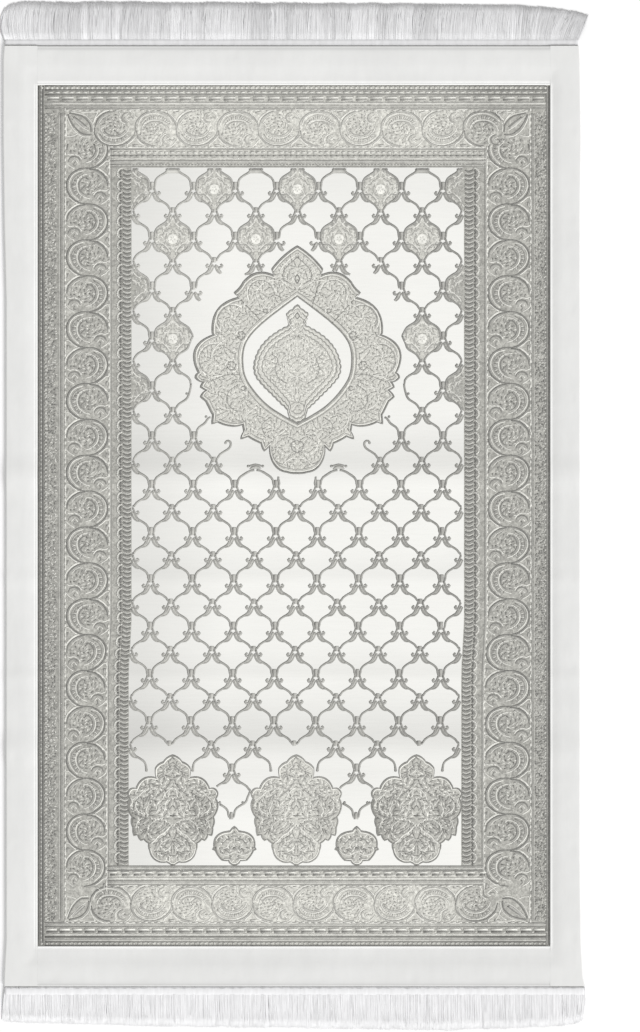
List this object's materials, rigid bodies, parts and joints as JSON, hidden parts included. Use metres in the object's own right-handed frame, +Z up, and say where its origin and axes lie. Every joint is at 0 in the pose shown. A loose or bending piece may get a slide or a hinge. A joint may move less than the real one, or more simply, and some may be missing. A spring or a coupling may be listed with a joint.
{
  "type": "prayer rug",
  "caption": "Rectangular prayer rug lying flat: a thin jacquard-woven panel in a plain bound frame, with a soft yarn fringe along each short end.",
  "frame": {"origin": "middle of the rug on the floor, at the bottom of its bounding box", "axes": "+X across the rug, +Y along it towards the end whose fringe flares at one corner, +Z up from the floor"},
  "size_m": [0.7175, 1.261, 0.0062],
  "materials": {
    "jacquard_cloth": "ivory jacquard with a grey pattern and a soft satin sheen",
    "plain_cloth": "plain white cloth, softly rippled, slight sheen",
    "fringe_yarn": "soft matt white yarn with a cool tint"
  },
  "bodies": {
    "root": {"panel": "jacquard_cloth", "binding_left": "plain_cloth", "binding_right": "plain_cloth", "binding_top": "plain_cloth", "binding_bottom": "plain_cloth", "fringe_top": "fringe_yarn", "fringe_bottom": "fringe_yarn"}
  },
  "joints": []
}
